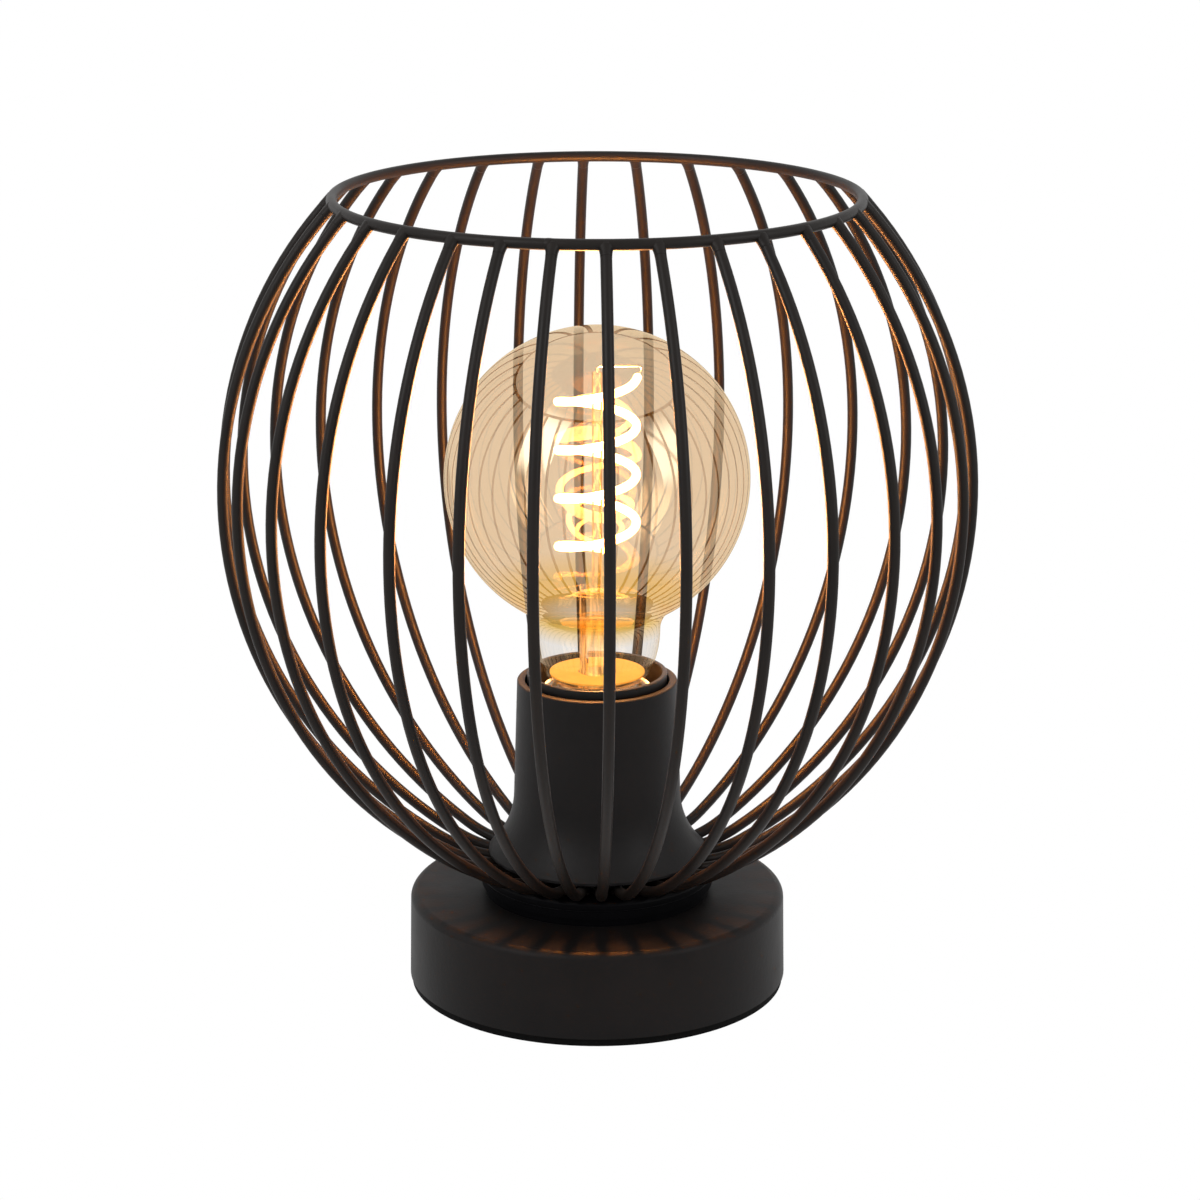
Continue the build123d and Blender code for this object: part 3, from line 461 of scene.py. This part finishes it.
sheet = bmesh.new()
turn_steps = 192
profile_rows = [
    [around(2 * math.pi * i / turn_steps, radius, height) for i in range(turn_steps)]
    for radius, height in globe_profile()[1:]
]
skin(sheet, profile_rows)
crown = sheet.verts.new((0, 0, globe_high.z))
sheet.verts.ensure_lookup_table()
for i in range(turn_steps):
    sheet.faces.new((crown, sheet.verts[i], sheet.verts[(i + 1) % turn_steps]))
bmesh.ops.recalc_face_normals(sheet, faces=sheet.faces)
globe = piece("globe_sheet", sheet, lustre, "bulb")
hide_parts("bulb_glass")

# Directions of the wires round the cage, from the wires themselves
wire_angles = []
for name in sorted(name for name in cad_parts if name.startswith("cage_wire_")):
    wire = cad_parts[name]
    middle = sum((wire.matrix_world @ vertex.co for vertex in wire.data.vertices), Vector())
    wire_angles.append(math.atan2(middle.x, -middle.y))

# Weld collars where the wires meet the top ring: each widens along the ring and runs into it.
# Their sizes are shares of the wire's radius.
run_in = belly_radius - ring_radius
rise = ring_height - belly_height
upper_arc = (run_in ** 2 + rise ** 2) / (2 * run_in)
arc_centre = belly_radius - upper_arc
end_turn = math.asin(rise / upper_arc)
collars = bmesh.new()
collar_length = 0.0042
collar_rows, collar_sides = 10, 24
collar_start, collar_widening, collar_deepening = 1.02, 0.62, 0.03
collar_flare, collar_unevenness = 2.2, 0.10
for number, angle in enumerate(wire_angles):
    rows = []
    sideways = Vector((math.cos(angle), math.sin(angle), 0))
    for step in range(collar_rows + 1):
        share = step / collar_rows
        back = collar_length * (1 - share)
        turn = end_turn - back / upper_arc
        centre = around(
            angle,
            arc_centre + upper_arc * math.cos(turn),
            belly_height + upper_arc * math.sin(turn),
        )
        outward = around(angle, math.cos(turn), math.sin(turn))
        wobble = 1 + collar_unevenness * noise.noise(Vector((number * 3.1, step * 0.7, 0.4)))
        wide = wire_radius * (collar_start + collar_widening * share ** collar_flare * wobble)
        deep = wire_radius * (collar_start + collar_deepening * share * wobble)
        rows.append(
            [
                centre
                + sideways * wide * math.cos(2 * math.pi * i / collar_sides)
                + outward * deep * math.sin(2 * math.pi * i / collar_sides)
                for i in range(collar_sides)
            ]
        )
    skin(collars, rows, capped=True)
bmesh.ops.recalc_face_normals(collars, faces=collars.faces)
piece("ring_welds", collars, cage_coat, "lamp")

# Weld beads beside each wire's foot, on the cage plate
beads = bmesh.new()
bead_half_length, bead_sides, bead_rows = 0.0032, 12, 10
bead_radius, bead_end_radius, bead_unevenness = 0.00105, 0.00005, 0.25
bead_setback, bead_lift = 0.0015, 0.0001
bead_side_share = 0.82
for number, angle in enumerate(wire_angles):
    out = Vector((math.sin(angle), -math.cos(angle), 0))
    sideways = Vector((math.cos(angle), math.sin(angle), 0))
    for side in (-1, 1):
        rows = []
        for step in range(bead_rows + 1):
            along = -1 + 2 * step / bead_rows
            size = bead_radius * math.sqrt(max(0.0, 1 - along ** 2)) + bead_end_radius
            wobble = noise.noise(Vector((number * 1.7 + side, step * 0.9, 2.5)))
            size *= 1 + bead_unevenness * wobble
            centre = out * (foot_outer_radius - bead_setback + along * bead_half_length)
            centre += sideways * side * wire_radius * bead_side_share
            centre += Vector((0, 0, plate_top + bead_lift))
            rows.append(
                [
                    centre
                    + sideways * size * math.cos(2 * math.pi * i / bead_sides)
                    + Vector((0, 0, max(0.0, size * math.sin(2 * math.pi * i / bead_sides))))
                    for i in range(bead_sides)
                ]
            )
        skin(beads, rows, capped=True)
bmesh.ops.recalc_face_normals(beads, faces=beads.faces)
piece("foot_welds", beads, cage_coat, "lamp")

# Butt weld that closes the top ring, a slight bead that doesn't rise above the ring
seam = bmesh.new()
seam_angle = math.radians(-9.7)
seam_rows, seam_sides = 12, 28
seam_half_length, seam_swell, seam_unevenness = 0.0011, 0.09, 0.02
seam_half_angle = seam_half_length / ring_radius
rows = []
for step in range(seam_rows + 1):
    along = -1 + 2 * step / seam_rows
    angle = seam_angle + along * seam_half_angle
    swell = wire_radius * (1.0 + seam_swell * (1 - along ** 2))
    row = []
    for i in range(seam_sides):
        across = 2 * math.pi * i / seam_sides
        dent = 1 + seam_unevenness * noise.noise(Vector((step * 0.8, i * 0.5, 7.0)))
        radius = swell * dent
        height = min(radius * math.sin(across), ring_high.z - ring_height)
        row.append(around(angle, ring_radius + radius * math.cos(across), ring_height + height))
    rows.append(row)
skin(seam, rows, capped=True)
bmesh.ops.recalc_face_normals(seam, faces=seam.faces)
piece("ring_seam", seam, cage_coat, "lamp")

# Light from inside the globe: it shines on the lamp's metal, and leaves out the glass and the disc;
# the stem glass and the disc carry a painted glow instead
left_out = bpy.data.collections.new("left_out")
for glass_or_painted_glow in (globe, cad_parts["bulb_stem"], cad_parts["neck_disc"]):
    left_out.objects.link(glass_or_painted_glow)
for member in left_out.collection_objects:
    member.light_linking.link_state = "EXCLUDE"
filament_light_heights = (0.143, 0.167, 0.190)
filament_light_radius, filament_light_power = 0.012, 1.6
for height in filament_light_heights:
    lamp_data = bpy.data.lights.new("filament_light", "POINT")
    lamp_data.color = (1.0, 0.42, 0.13)
    lamp_data.energy = filament_light_power
    lamp_data.shadow_soft_size = filament_light_radius
    lamp = bpy.data.objects.new("filament_light", lamp_data)
    lamp.location = (0, 0, height)
    lamp.light_linking.receiver_collection = left_out
    lamp.visible_camera = False
    lamp.visible_transmission = False
    bpy.context.scene.collection.objects.link(lamp)


# Soft studio lamps that look at the middle of the object; only the side ones show in mirrors.
# Their cloth fades towards its edges, by these shares of its width and height, and is brighter in
# the middle by as much, so that the whole lamp gives about its own power.
lamp_aim = Vector((0, 0, 0.13))
side_fade, end_fade, cloth_peak = 0.35, 0.12, 1.75


def soft_lamp(name, place, width, height, energy, mirrored):
    data = bpy.data.lights.new(name, "AREA")
    data.shape = "RECTANGLE"
    data.size = width
    data.size_y = height
    data.energy = energy
    data.use_nodes = True
    cloth = Shader(tree=data.node_tree, output_kind="Light")
    # Parametric's Y runs across the cloth, and its X and Y together run along it
    spot = cloth.node("SeparateXYZ")
    cloth.join(cloth.node("NewGeometry").outputs["Parametric"], spot.inputs["Vector"])
    both = cloth.node("Math", operation="ADD")
    cloth.join(spot.outputs["X"], both.inputs[0])
    cloth.join(spot.outputs["Y"], both.inputs[1])
    bright = cloth.node("Math", operation="MULTIPLY")
    for socket, place_in_cloth, edge in (
        (bright.inputs[0], spot.outputs["Y"], side_fade),
        (bright.inputs[1], both.outputs["Value"], end_fade),
    ):
        inward = cloth.node("Math", operation="PINGPONG")
        cloth.join(place_in_cloth, inward.inputs[0])
        inward.inputs[1].default_value = 0.5
        fade = cloth.node("MapRange", interpolation_type="SMOOTHSTEP")
        fade.inputs["From Max"].default_value = edge
        cloth.join(inward.outputs["Value"], fade.inputs["Value"])
        cloth.join(fade.outputs["Result"], socket)
    lit = cloth.node("Emission")
    strength = cloth.spread(bright.outputs["Value"], 0.0, 1.0, 0.0, cloth_peak)
    cloth.join(strength, lit.inputs["Strength"])
    cloth.surface(lit.outputs["Emission"])
    made = bpy.data.objects.new(name, data)
    made.location = place
    aim = lamp_aim - Vector(place)
    made.rotation_euler = aim.to_track_quat("-Z", "Y").to_euler()
    made.visible_camera = False
    made.visible_glossy = mirrored
    bpy.context.scene.collection.objects.link(made)


soft_lamp("key_lamp", (-1.1, -0.9, 1.1), 0.8, 1.7, 11, True)
soft_lamp("fill_lamp", (1.3, -0.7, 0.8), 0.7, 1.5, 6, True)
soft_lamp("top_lamp", (0.1, 0.5, 1.7), 1.0, 1.0, 8, False)


# White for the camera, for mirrors and for glass, and a plain level for everything else
def white_rays(shader):
    path = shader.node("LightPath")
    first = shader.node("Math", operation="MAXIMUM")
    shader.join(path.outputs["Is Camera Ray"], first.inputs[0])
    shader.join(path.outputs["Is Glossy Ray"], first.inputs[1])
    second = shader.node("Math", operation="MAXIMUM")
    shader.join(first.outputs["Value"], second.inputs[0])
    shader.join(path.outputs["Is Transmission Ray"], second.inputs[1])
    return second.outputs["Value"]


world = bpy.data.worlds.new("studio")
bpy.context.scene.world = world
world.use_nodes = True
sky = Shader(tree=world.node_tree, output_kind="World")
plain_level = 0.35
level = sky.spread(white_rays(sky), 0.0, 1.0, plain_level, 1.0)
backdrop = sky.node("Background")
backdrop.inputs["Color"].default_value = (1.0, 1.0, 1.0, 1.0)
sky.join(level, backdrop.inputs["Strength"])
sky.surface(backdrop.outputs["Background"])

floor_shader = Shader("pale_floor")
pale = floor_shader.principled(Roughness=0.9)
pale.inputs["Base Color"].default_value = (0.86, 0.86, 0.86, 1.0)
bright = floor_shader.node("Emission")
bright.inputs["Color"].default_value = (1.0, 1.0, 1.0, 1.0)
lift = floor_shader.node("MixShader")
floor_shader.join(white_rays(floor_shader), lift.inputs["Fac"])
floor_shader.join(pale.outputs["BSDF"], lift.inputs[1])
floor_shader.join(bright.outputs["Emission"], lift.inputs[2])
floor_shader.surface(lift.outputs["Shader"])
ground = bmesh.new()
floor_half_width = 8
bmesh.ops.create_grid(ground, x_segments=2, y_segments=2, size=floor_half_width)
ground_mesh = bpy.data.meshes.new("floor")
ground.to_mesh(ground_mesh)
ground.free()
ground_mesh.materials.append(floor_shader.material)
floor = bpy.data.objects.new("floor", ground_mesh)
bpy.context.scene.collection.objects.link(floor)

# The camera at the photograph's place
camera_data = bpy.data.cameras.new("camera")
camera_data.sensor_width = sensor_width
camera_data.lens = sensor_width * focal_pixels / photo_pixels
camera_data.clip_end = 50
camera = bpy.data.objects.new("camera", camera_data)
camera.location = (camera_side, -camera_distance, camera_height)
camera.rotation_euler = (math.pi / 2 - camera_pitch, 0, 0)
bpy.context.scene.collection.objects.link(camera)
bpy.context.scene.camera = camera
bpy.context.scene.view_settings.view_transform = "Standard"
